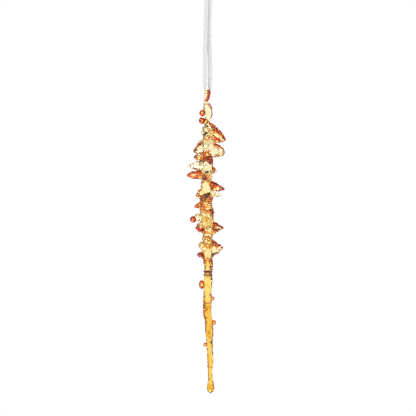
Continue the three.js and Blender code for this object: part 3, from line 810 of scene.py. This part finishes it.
def fuse(piece, others, grain, lumps):
    """Melts pieces into one skin of a grain, and carries their marked tips over to it.

    lumps lists the size and the strength of the lumps that are then melted into it.
    """
    sources = [piece, *others]
    places = np.concatenate([mesh_points(source) for source in sources])
    values = np.concatenate([read_mark(source, "tip") for source in sources])
    tree = KDTree(len(places))
    for i, place in enumerate(places):
        tree.insert(place, i)
    tree.balance()
    deselect()
    for source in sources:
        source.select_set(True)
    bpy.context.view_layer.objects.active = piece
    if others:
        bpy.ops.object.join()
    skin = piece.modifiers.new("skin", "REMESH")
    skin.mode = "VOXEL"
    skin.voxel_size = grain
    melted = piece.modifiers.new("melted", "SMOOTH")
    melted.factor = 0.5
    melted.iterations = 6
    apply_all(piece)
    near = np.array([values[tree.find(place)[1]] for place in mesh_points(piece)])
    for size, strength in lumps:
        melt(piece, size, strength)
    apply_all(piece)
    mark(piece, "tip", near)
    return piece


def blow_rod(node, count, lip, tuck, levels):
    piece = loft(f"{node}_glass", rod_rings(node, count, lip, tuck), 12)
    subdivide(piece, levels)
    apply_all(piece)
    mark(piece, "tip", 0)
    return piece


# Height of the stem's ridges as a share of its radius, how many run round it, and how they turn, in
# radians per metre.
RIDGES = ((0.06, 3, 110), (0.045, 5, -170))


def draw_out(piece, node):
    """Draws a rod's skin out in soft lengthwise ridges, which turn slowly as they run down."""
    rings = rod_rings(node, 9, 1.0, 0)
    points = mesh_points(piece)
    height = points[:, 2]
    middle = np.interp(height, [ring[2] for ring in rings], [ring[0] for ring in rings])
    angle = np.arctan2(points[:, 1], points[:, 0] - middle)
    ridges = sum(share * np.sin(count * angle + turn * height) for share, count, turn in RIDGES)
    points[:, 0] += (points[:, 0] - middle) * ridges
    points[:, 1] += points[:, 1] * ridges
    piece.data.vertices.foreach_set("co", points.ravel())


def blow_ball(node, sink):
    """A bead or drop: a ball whose far side keeps its node's place.

    Its near side sinks into the core by sink, or the ball stays as deep as it is tall where sink is None.
    """
    points = corners_of(node)
    middle = points.mean(axis=0)
    axis, radius = core_at(float(middle[2]))
    out = Vector((*(middle - np.array(axis))[:2], 0)).normalized()
    side = Vector((out.y, -out.x, 0))
    across, thick = span(points, side)
    up, tall = span(points, (0, 0, 1))
    far = (points @ np.array(out)).max()
    near = far - 2 * tall if sink is None else min(out.dot(axis) + radius - sink, far - tall)
    centre = out * ((far + near) / 2) + side * across + Vector((0, 0, up))
    deselect()
    bpy.ops.mesh.primitive_ico_sphere_add(subdivisions=5, radius=1, location=(0, 0, 0))
    piece = bpy.context.object
    piece.name = f"{node}_glass"
    thick = max(thick, 0.8 * tall)
    shape = Matrix.Diagonal((thick, (far - near) / 2, tall, 1))
    turn = Matrix(((side.x, out.x, 0, 0), (side.y, out.y, 0, 0), (0, 0, 1, 0), (0, 0, 0, 1)))
    piece.matrix_world = Matrix.Translation(centre) @ turn @ shape
    apply_all(piece)
    # Red all over, but for a paler spot at the very front and back: painted light, the bright middle that a glass
    # ball shows from the front.
    painted_light_share = np.abs(mesh_points(piece)[:, 1] - centre.y) / thick
    mark(piece, "tip", np.clip((0.96 - painted_light_share) / 0.16, 0, 1))
    return piece


GATHERS = [name for name in CORE_NODES if name.startswith("gather_")]


def home_of(lobe):
    """The gather that a lobe grows out of."""
    height = corners_of(lobe)[:, 2].mean()
    return min(GATHERS, key=lambda name: max(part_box(name)[0][2] - height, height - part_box(name)[1][2], 0))


class ICICLE_OT_mix_glass(bpy.types.Operator):
    """Mix the finishes of the glass."""

    bl_idname = "icicle.mix_glass"
    bl_label = "Mix Glass"

    def execute(self, context):
        glass_finishes(context.scene.icicle_glass)
        return {"FINISHED"}


class ICICLE_OT_blow_gathers(bpy.types.Operator):
    """Blow the gathers of the core, each in one skin with the pale lobes that grow out of it."""

    bl_idname = "icicle.blow_gathers"
    bl_label = "Blow Gathers"

    def execute(self, context):
        glass = context.scene.icicle_glass
        lumps = [
            (1.3 * glass.lump_size, 3.4 * MM),
            (0.6 * glass.lump_size, 0.8 * MM),
            (1.2 * MM, 0.08 * MM),
        ]
        for node in GATHERS:
            lobes = [
                lobe
                for lobe in sorted(NODES)
                if lobe.startswith("lobe_") and slot_of(lobe) == "pale_glass" and home_of(lobe) == node
            ]
            core = blow_rod(node, 10, 1.06, 0.5 * MM, 2)
            fused = fuse(core, [pull_lobe(lobe, -0.3) for lobe in lobes], 0.4 * MM, lumps)
            upper = node in ("gather_top", "gather_second")
            finish = "cream_glass" if upper else "pale_amber_glass"
            hand_over(fused, [node, *lobes], bpy.data.materials[finish])
        return {"FINISHED"}


class ICICLE_OT_pull_embers(bpy.types.Operator):
    """Pull the red lobes out of the gathers."""

    bl_idname = "icicle.pull_embers"
    bl_label = "Pull Red Lobes"

    def execute(self, context):
        glass = context.scene.icicle_glass
        lumps = [
            (glass.lump_size, 2.2 * MM),
            (0.5 * glass.lump_size, 0.8 * MM),
            (1.1 * MM, 0.14 * MM),
        ]
        for node in sorted(NODES):
            if node.startswith("lobe_") and slot_of(node) == "red_glass":
                lobe = fuse(pull_lobe(node, 0.8), [], 0.3 * MM, lumps)
                hand_over(lobe, [node], bpy.data.materials["ember_lobe_glass"])
        return {"FINISHED"}


def leaf_top():
    """The top of the neck leaf, drawn up until it holds the foot of the eye."""
    x = (EYE_LOW.x + EYE_HIGH.x) / 2 - 1.2 * MM
    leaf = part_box("neck_leaf")[1].z
    rings = [
        [x - 0.3 * MM, 0, leaf - 4 * MM, 2.6 * MM, 1.7 * MM],
        [x, 0, leaf - 1 * MM, 2.1 * MM, 1.7 * MM],
        [x, 0, EYE_LOW.z + 0.6 * MM, 1.7 * MM, 1.6 * MM],
        [x - 0.2 * MM, 0, EYE_LOW.z + 2.4 * MM, 1.2 * MM, 1.2 * MM],
    ]
    piece = loft("neck_leaf_top", rings, 16)
    subdivide(piece, 2)
    apply_all(piece)
    mark(piece, "tip", 0)
    return piece


class ICICLE_OT_draw_stem(bpy.types.Operator):
    """Draw the neck leaf, the drips of the stem and the tip drop."""

    bl_idname = "icicle.draw_stem"
    bl_label = "Draw Stem"

    def execute(self, context):
        glass = context.scene.icicle_glass
        finishes = {
            "neck_leaf": "leaf_glass",
            "stem_drip_1": "straw_stem_glass",
            "stem_drip_2": "straw_stem_glass",
            "stem_drip_3": "honey_stem_glass",
            "stem_drip_4": "honey_stem_glass",
            "stem_drip_5": "amber_tip_glass",
        }
        lumps = [(0.8 * glass.lump_size, 1.0 * MM), (1.4 * MM, 0.1 * MM)]
        for node, finish in finishes.items():
            nodes, others, lip = [node], [], 1.0
            if node == "neck_leaf":
                others.append(leaf_top())
            elif node == "stem_drip_5":
                nodes.append("tip_drop")
                others.append(blow_rod("tip_drop", 9, 1.0, 1.2 * MM, 2))
            else:
                lip = 1.12
            rod = blow_rod(node, 9, lip, 0.6 * MM, 3)
            if node.startswith("stem_"):
                draw_out(rod, node)
            piece = fuse(rod, others, 0.3 * MM, lumps)
            above_foot = mesh_points(piece)[:, 2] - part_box(nodes[-1])[0].z
            mark(piece, "tip", 0.5 * np.clip(1 - above_foot / (2 * MM), 0, 1))
            hand_over(piece, nodes, bpy.data.materials[finish])
        return {"FINISHED"}


def run_trail():
    """The thread of glass trailed down the leaf's right edge."""
    rings = [
        [x - 0.5 * MM, y, z, 0.6 * width, 0.6 * depth]
        for x, y, z, width, depth in rod_rings("neck_trail", 8, 1.0, 0.1 * MM)
    ]
    piece = loft("neck_trail_glass", rings, 12)
    subdivide(piece, 2)
    apply_all(piece)
    mark(piece, "tip", 1)
    return piece


WRAP_PHASE = 900  # radians per metre of height, so that no two rings sway alike
WRAP_SWAY = 0.75 * MM


def wind_ring(node):
    """A ring of glass trailed round the stem, which sways up and down and is redder here and there."""
    low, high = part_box(node)
    thick = (high.z - low.z) / 2
    deselect()
    bpy.ops.mesh.primitive_torus_add(
        location=(low + high) / 2,
        major_segments=72,
        minor_segments=20,
        major_radius=(high.x - low.x) / 2 - thick - 0.4 * MM,
        minor_radius=0.7 * thick,
    )
    piece = bpy.context.object
    piece.name = f"{node}_glass"
    melt(piece, 3 * MM, 1.2 * MM)
    apply_all(piece)
    points = mesh_points(piece)
    angle = np.arctan2(*(points[:, :2] - np.array(low + high)[:2] / 2).T)
    points[:, 2] += WRAP_SWAY * np.sin(3 * angle + low.z * WRAP_PHASE)
    piece.data.vertices.foreach_set("co", points.ravel())
    mark(piece, "tip", 1.1 + 0.5 * np.sin(5 * angle + low.z * WRAP_PHASE))
    return piece


BACK_DROPS = ("stem_drop_3", "stem_drop_5")


class ICICLE_OT_drop_beads(bpy.types.Operator):
    """Set the beads, the small drops, the trailed thread and the two rings of trailed glass."""

    bl_idname = "icicle.drop_beads"
    bl_label = "Drop Beads"

    def execute(self, context):
        bead = bpy.data.materials["red_bead_glass"]
        drop = bpy.data.materials["red_drop_glass"]
        for node in sorted(NODES):
            finish = drop
            if node.startswith("bead_"):
                piece = blow_ball(node, None)
                finish = bead
            elif node.startswith("stem_drop_"):
                piece = blow_ball(node, 0.8 * MM)
            elif node == "neck_trail":
                piece = run_trail()
                finish = bead
            elif node.startswith("wrap_"):
                piece = wind_ring(node)
            else:
                continue
            if node in BACK_DROPS:
                finish = bpy.data.materials["straw_stem_glass"]
                mark(piece, "tip", 0)
            hand_over(piece, [node], finish)
        return {"FINISHED"}


EYE_ROD_RADIUS = 1.35 * MM
EYE_BEND = 2.95 * MM  # of the rod's middle line, in the eye's round ends
EYE_LEAN = 0.19  # sideways per unit of height


class ICICLE_OT_bend_eye(bpy.types.Operator):
    """Bend the hanging eye out of a glass rod."""

    bl_idname = "icicle.bend_eye"
    bl_label = "Bend Eye"

    def execute(self, context):
        middle = (EYE_LOW + EYE_HIGH) / 2
        leg = (EYE_HIGH.z - EYE_LOW.z) / 2 - EYE_BEND - EYE_ROD_RADIUS
        deselect()
        bpy.ops.mesh.primitive_torus_add(
            major_radius=EYE_BEND,
            minor_radius=EYE_ROD_RADIUS,
            major_segments=64,
            minor_segments=24,
            location=(0, 0, 0),
            rotation=(0, math.pi / 2, 0),
        )
        piece = bpy.context.object
        piece.name = "hanging_eye_glass"
        bpy.ops.object.transform_apply(location=True, rotation=True, scale=True)
        for vertex in piece.data.vertices:
            vertex.co.z += math.copysign(leg, vertex.co.z)
        piece.matrix_world = (
            Matrix.Translation(middle)
            @ Matrix.Rotation(math.atan(EYE_LEAN), 4, "Y")
            @ Matrix.Rotation(math.atan2(HOLE_AXIS.y, HOLE_AXIS.x), 4, "Z")
        )
        melt(piece, 3 * MM, 0.3 * MM)
        apply_all(piece)
        points = mesh_points(piece)
        near = (points - np.array(middle)) @ np.array(HOLE_AXIS.cross(Vector((0, 0, 1))))
        mark(piece, "tip", 0)
        mark(piece, "shade", 0.25 + 0.6 * np.clip(0.5 + near / EYE_BEND, 0, 1))
        mark(piece, "brushed", 1)
        hand_over(piece, ["hanging_eye"], bpy.data.materials["ember_lobe_glass"])
        return {"FINISHED"}


# ---- Ribbon ----

SADDLE_RADIUS = 2.7 * MM


def saddle_bend(degrees):
    angle = math.radians(degrees)
    rise = Vector((0, 0, SADDLE_RADIUS * (1 - math.cos(angle))))
    return SADDLE + HOLE_AXIS * SADDLE_RADIUS * math.sin(angle) + rise


def in_millimetres(*points):
    return [Vector(point) * MM for point in points]


ROUTE = [
    *in_millimetres(
        (-0.45, 0, 1.2),
        (-0.5, 0, 0.2),
        (-1.9, 0, -2),
        (-2.2, -0.1, -5),
        (-1.4, -0.5, -16),
        (-1.9, -0.6, -34),
        (-2.4, -0.8, -53),
        (-2.7, -1, -71),
        (-2.8, -1.2, -89),
        (-2.8, -1.3, -95),
    ),
    *(saddle_bend(degrees) for degrees in (-80, -50, -25, 0, 25, 50, 80)),
    *in_millimetres(
        (1.8, 1.3, -95),
        (2, 1.2, -89),
        (1.8, 1, -71),
        (1.2, 0.8, -53),
        (1.2, 0.6, -34),
        (2.3, 0.5, -16),
        (2.4, 0.1, -5),
        (1.9, 0, -2),
        (0.5, 0, 0.2),
        (0.45, 0, 1.2),
    ),
]


def smooth_line(points, step):
    """A centripetal curve through the points, sampled about every step."""
    line = []
    for i in range(len(points) - 1):
        before = points[i - 1] if i else points[0] * 2 - points[1]
        after = points[i + 2] if i + 2 < len(points) else points[-1] * 2 - points[-2]
        p = [before, points[i], points[i + 1], after]
        t = [0.0]
        for a, b in zip(p, p[1:]):
            t.append(t[-1] + (b - a).length ** 0.5)
        count = max(1, round((p[2] - p[1]).length / step))
        for k in range(count):
            u = t[1] + (t[2] - t[1]) * k / count
            first = [
                p[j] * ((t[j + 1] - u) / (t[j + 1] - t[j])) + p[j + 1] * ((u - t[j]) / (t[j + 1] - t[j]))
                for j in range(3)
            ]
            second = [
                first[j] * ((t[j + 2] - u) / (t[j + 2] - t[j]))
                + first[j + 1] * ((u - t[j]) / (t[j + 2] - t[j]))
                for j in range(2)
            ]
            line.append(second[0] * ((t[2] - u) / (t[2] - t[1])) + second[1] * ((u - t[1]) / (t[2] - t[1])))
    line.append(points[-1].copy())
    return line


def ease(value, low, high):
    share = min(max((value - low) / (high - low), 0), 1)
    return share * share * (3 - 2 * share)


WARP = 75  # threads, in radians per unit of the ribbon's map
WEFT = 62


def ribbon_finish(colour):
    """Sheer plain weave, denser along its selvedges, with painted shade of soft lengthwise folds."""
    finish = Finish("sheer_ribbon_weave")
    across, along, _ = finish.parts(finish.add("ShaderNodeUVMap").outputs[0])
    off_centre = finish.maths("ABSOLUTE", across - 0.5)
    selvedge = finish.step(off_centre, 0.36, 0.44)
    # Painted shade: darker lengthwise streaks where the ribbon folds.
    fold_shade = finish.noise(1.2 * MM, finish.place((1, 1, 14)), 2)
    warp = finish.maths("SINE", across * WARP)
    weft = finish.maths("SINE", along * WEFT)
    threads = warp * weft
    cloth = finish.blend(fold_shade, [0.9 * c for c in colour], colour)
    cloth = finish.blend(selvedge * 0.3, cloth, [0.8 * c for c in colour])
    shader = finish.add(
        "ShaderNodeBsdfPrincipled",
        None,
        {
            "Base Color": cloth,
            "Roughness": 0.6 - selvedge * 0.1,
            "Sheen Weight": 0.25,
            "Alpha": 0.88 + selvedge * 0.08 + threads * 0.07,
            "Normal": finish.bump(threads, 0.04 * MM, 0.4),
        },
    )
    return finish.surface(shader.outputs[0])


CLOTH_THICKNESS = 0.14 * MM
CLOTH_COLUMNS = 12
CLOTH_REPEAT = 4 * MM  # length of cloth in one unit of its map


def weave_strip(name, line, widths, halves, crease):
    """A strip of cloth along a line.

    widths and halves are its way across and its half width at each point of the line, and crease gives
    how far it is lifted off flat, from the point, the share across and the length travelled.
    """
    points, faces, places = [], [], []
    travelled = 0.0
    for i, centre in enumerate(line):
        along = (line[min(i + 1, len(line) - 1)] - line[max(i - 1, 0)]).normalized()
        travelled += (centre - line[i - 1]).length if i else 0
        width = (widths[i] - along * widths[i].dot(along)).normalized()
        face = along.cross(width)
        for c in range(CLOTH_COLUMNS + 1):
            share = 2 * c / CLOTH_COLUMNS - 1
            lift = crease(centre, share, travelled)
            points.append(centre + width * share * halves[i] + face * lift)
            places.append((c / CLOTH_COLUMNS, travelled / CLOTH_REPEAT))
    row = CLOTH_COLUMNS + 1
    for i in range(len(line) - 1):
        for c in range(CLOTH_COLUMNS):
            a = i * row + c
            faces.append((a, a + 1, a + row + 1, a + row))
    mesh = bpy.data.meshes.new(name)
    mesh.from_pydata(points, [], faces)
    layer = mesh.uv_layers.new(name="UVMap")
    for loop in mesh.loops:
        layer.data[loop.index].uv = places[loop.vertex_index]
    strip = bpy.data.objects.new(name, mesh)
    bpy.context.collection.objects.link(strip)
    mesh.materials.append(bpy.data.materials["sheer_ribbon_weave"])
    thick = strip.modifiers.new("thick", "SOLIDIFY")
    thick.thickness = CLOTH_THICKNESS
    thick.offset = 0
    return strip


KNOT_STEPS = 120
KNOT_SIZE = 0.85 * MM
KNOT_DEPTH = 1.2 * MM
TAIL_STEPS = 24


def knot_turn(turn):
    """The overhand knot's middle line: a trefoil that faces the front."""
    x = KNOT_SIZE * (math.sin(turn) + 2 * math.sin(2 * turn))
    z = KNOT_SIZE * (math.cos(turn) - 2 * math.cos(2 * turn))
    return Vector((x, -KNOT_DEPTH * math.sin(3 * turn), z))


def crown(centre, share, travelled):
    """A soft arch from selvedge to selvedge."""
    return 0.25 * MM * (1 - share * share)


def curl(centre, share, travelled):
    """A curl that runs along a cut tail."""
    return 0.22 * MM * math.sin(2.6 * share + travelled / MM)


class ICICLE_OT_tie_knot(bpy.types.Operator):
    """Tie the ribbon's two ends in an overhand knot, and cut its tails."""

    bl_idname = "icicle.tie_knot"
    bl_label = "Tie Knot"

    def execute(self, context):
        ribbon_finish(list(context.scene.icicle_ribbon.colour))
        low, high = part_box("ribbon_knot")
        middle = Vector((0, 0, low.z + 2.3 * MM))
        turns = [2 * math.pi * i / KNOT_STEPS for i in range(KNOT_STEPS + 1)]
        line = [middle + knot_turn(t) for t in turns]
        widths = []
        for i, point in enumerate(line):
            along = line[(i + 1) % KNOT_STEPS] - line[i - 1 if i else KNOT_STEPS - 1]
            outward = point - middle + Vector((0, -KNOT_DEPTH * math.sin(3 * turns[i]), 0))
            widths.append(along.cross(outward))
        halves = [0.95 * MM] * len(line)
        strips = [weave_strip("knot_weave", line, widths, halves, crown)]
        rise = high.z - middle.z - 0.6 * MM
        shares = [i / TAIL_STEPS for i in range(TAIL_STEPS + 1)]
        halves = [(0.8 + 1.0 * ease(i, 2, 16)) * MM for i in range(TAIL_STEPS + 1)]
        for side in (-1, 1):
            tail = [
                middle + Vector((side * (0.3 * MM + 0.33 * rise * u**1.2), side * 0.6 * MM * u, rise * u))
                for u in shares
            ]
            across = [Vector((1, 0.25 * side, -0.3 * side))] * len(tail)
            strips.append(weave_strip("tail_weave", tail, across, halves, curl))
        for strip in strips:
            apply_all(strip)
        deselect()
        for strip in strips:
            strip.select_set(True)
        knot = strips[0]
        context.view_layer.objects.active = knot
        bpy.ops.object.join()
        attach(knot, "knot")
        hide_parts("ribbon_knot")
        return {"FINISHED"}


SADDLE_WIDTH = 1.8 * MM  # the ribbon is gathered where it lies in the eye
HOOK_TWIST = (-16 * MM, -5 * MM)  # heights between which it turns to lie flat against the hook


def ribbon_spread(centre):
    """0 where the ribbon is gathered in the eye, 1 where it has its full width."""
    return ease(centre.z, SADDLE.z + 1 * MM, SADDLE.z + 9 * MM)


def fold(centre, share, travelled):
    """Folds in the eye, which give way to a faint wave."""
    spread = ribbon_spread(centre)
    wave = 0.12 * MM * math.sin(5.2 * share + travelled / (14 * MM))
    return wave * spread + (1 - spread) * 0.3 * MM * math.sin(share * 2.5 * math.pi)


class ICICLE_OT_thread_ribbon(bpy.types.Operator):
    """Thread the sheer ribbon through the eye, up to the knot."""

    bl_idname = "icicle.thread_ribbon"
    bl_label = "Thread Ribbon"

    def execute(self, context):
        ribbon = context.scene.icicle_ribbon
        line = smooth_line(ROUTE, 0.5 * MM)
        eye_turn = math.atan2(HOLE_AXIS.y, HOLE_AXIS.x)
        widths, halves = [], []
        for centre in line:
            spread = ribbon_spread(centre)
            back = ease(centre.z, *HOOK_TWIST) * math.pi / 2
            turn = (eye_turn + math.pi / 2) * (1 - spread) + math.pi * spread - back
            widths.append(Vector((math.cos(turn), math.sin(turn), 0)))
            halves.append(SADDLE_WIDTH / 2 * (1 - spread) + ribbon.width / 2 * spread)
        piece = weave_strip("ribbon_weave", line, widths, halves, fold)
        apply_all(piece)
        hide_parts("ribbon_loop")
        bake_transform(piece)
        length = sum((b - a).length for a, b in zip(line, line[1:]))
        return {"FINISHED"}


# ---- Stage ----


class Sky(Finish):
    """The world's node tree, made in the same way as a finish."""

    def __init__(self, name):
        world = bpy.data.worlds.new(name)
        bpy.context.scene.world = world
        world.use_nodes = True
        self.tree = world.node_tree
        self.tree.nodes.clear()


def light_sky():
    """White to the camera and to matt surfaces. Glass meets soft light with warm, dim flags in it."""
    sky = Sky("studio")
    direction = sky.add("ShaderNodeTexCoord").outputs["Generated"]
    x, y, z = sky.parts(direction)
    flags = sky.maths("COSINE", sky.maths("ARCTAN2", y, x) * 4)
    side = sky.step(flags, -0.45, -0.9)
    above = sky.step(z, 0.5, 0.7) * (1 - sky.step(z, 0.9, 0.95))
    below = sky.step(z, -0.45, -0.7)
    lit = (1 - side) * (1 - above) * (1 - below)
    colour = sky.blend(lit, (0.42, 0.13, 0.05), (1, 1, 1))
    light = sky.add("ShaderNodeBackground", None, {"Color": colour, "Strength": 1.15})
    white = sky.add("ShaderNodeBackground", None, {"Color": (1, 1, 1), "Strength": 1.0})
    path = sky.add("ShaderNodeLightPath").outputs
    plain = sky.number(path["Is Camera Ray"]) + sky.number(path["Is Diffuse Ray"])
    mixed = sky.add("ShaderNodeMixShader", None, {0: plain, 1: light.outputs[0], 2: white.outputs[0]})
    sky.add("ShaderNodeOutputWorld", None, {"Surface": mixed.outputs[0]})


LENS = 100.0  # focal length and width of the sensor, in millimetres
SENSOR = 36.0
# Name, place, size and power of each lamp.
SOFTBOXES = [
    ("key_softbox", (-0.8, -0.9, 0.5), 0.25, 9),
    ("fill_softbox", (0.9, -0.7, 0.2), 0.2, 5),
    ("rear_softbox", (0.3, 1.3, 0.5), 0.25, 8),
]


class ICICLE_OT_set_stage(bpy.types.Operator):
    """Set the floor, the lamps and the camera."""

    bl_idname = "icicle.set_stage"
    bl_label = "Set Stage"

    def execute(self, context):
        stage = context.scene.icicle_stage
        scene = context.scene
        light_sky()
        scene.view_settings.view_transform = "Standard"
        deselect()
        bpy.ops.mesh.primitive_plane_add(size=4, location=(0, 0, CAD_BOX[0][2] - stage.floor_drop))
        floor = bpy.context.object
        floor.name = "studio_floor"
        paper = Finish("floor_paper")
        grain = paper.noise(20 * MM, paper.place(), 3)
        shader = paper.add(
            "ShaderNodeBsdfPrincipled",
            None,
            {"Base Color": paper.blend(grain, (0.9, 0.9, 0.89), (0.93, 0.93, 0.92)), "Roughness": 0.8},
        )
        floor.data.materials.append(paper.surface(shader.outputs[0]))
        glass_top = EYE_HIGH.z
        glass_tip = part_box("tip_drop")[0].z
        camera_data = bpy.data.cameras.new("camera")
        camera_data.lens = LENS
        camera_data.sensor_width = SENSOR
        camera = bpy.data.objects.new("camera", camera_data)
        scene.collection.objects.link(camera)
        camera.location = (0, -stage.field * LENS / SENSOR, glass_top - stage.camera_drop)
        camera.rotation_euler = (math.pi / 2, 0, 0)
        scene.camera = camera
        for name, place, size, power in SOFTBOXES:
            light = bpy.data.lights.new(name, "AREA")
            light.shape = "SQUARE"
            light.size = size
            light.energy = power
            lamp = bpy.data.objects.new(name, light)
            scene.collection.objects.link(lamp)
            lamp.location = place
            aim = Vector((0, 0, (glass_top + glass_tip) / 2)) - lamp.location
            lamp.rotation_euler = aim.to_track_quat("-Z", "Y").to_euler()
        return {"FINISHED"}


class ICICLE_PT_panel(bpy.types.Panel):
    """Sidebar panel with the icicle's settings and operators."""

    bl_label = "Icicle"
    bl_idname = "ICICLE_PT_panel"
    bl_space_type = "VIEW_3D"
    bl_region_type = "UI"
    bl_category = "Icicle"

    def draw(self, context):
        for settings in (
            context.scene.icicle_glass,
            context.scene.icicle_ribbon,
            context.scene.icicle_stage,
        ):
            for name in settings.__annotations__:
                self.layout.prop(settings, name)
        for operator in OPERATORS:
            self.layout.operator(operator.bl_idname)


SETTINGS = {
    "icicle_glass": GlassSettings,
    "icicle_ribbon": RibbonSettings,
    "icicle_stage": StageSettings,
}
OPERATORS = [
    ICICLE_OT_set_stage,
    ICICLE_OT_tie_knot,
    ICICLE_OT_thread_ribbon,
    ICICLE_OT_mix_glass,
    ICICLE_OT_blow_gathers,
    ICICLE_OT_pull_embers,
    ICICLE_OT_draw_stem,
    ICICLE_OT_drop_beads,
    ICICLE_OT_bend_eye,
]


def register():
    for group in (*SETTINGS.values(), *OPERATORS, ICICLE_PT_panel):
        bpy.utils.register_class(group)
    for name, group in SETTINGS.items():
        setattr(bpy.types.Scene, name, PointerProperty(type=group))


def unregister():
    for name in SETTINGS:
        delattr(bpy.types.Scene, name)
    for group in reversed((*SETTINGS.values(), *OPERATORS, ICICLE_PT_panel)):
        bpy.utils.unregister_class(group)


def main():
    register()
    for operator in OPERATORS:
        module, name = operator.bl_idname.split(".")
        getattr(getattr(bpy.ops, module), name)()


if __name__ == "__main__":
    main()
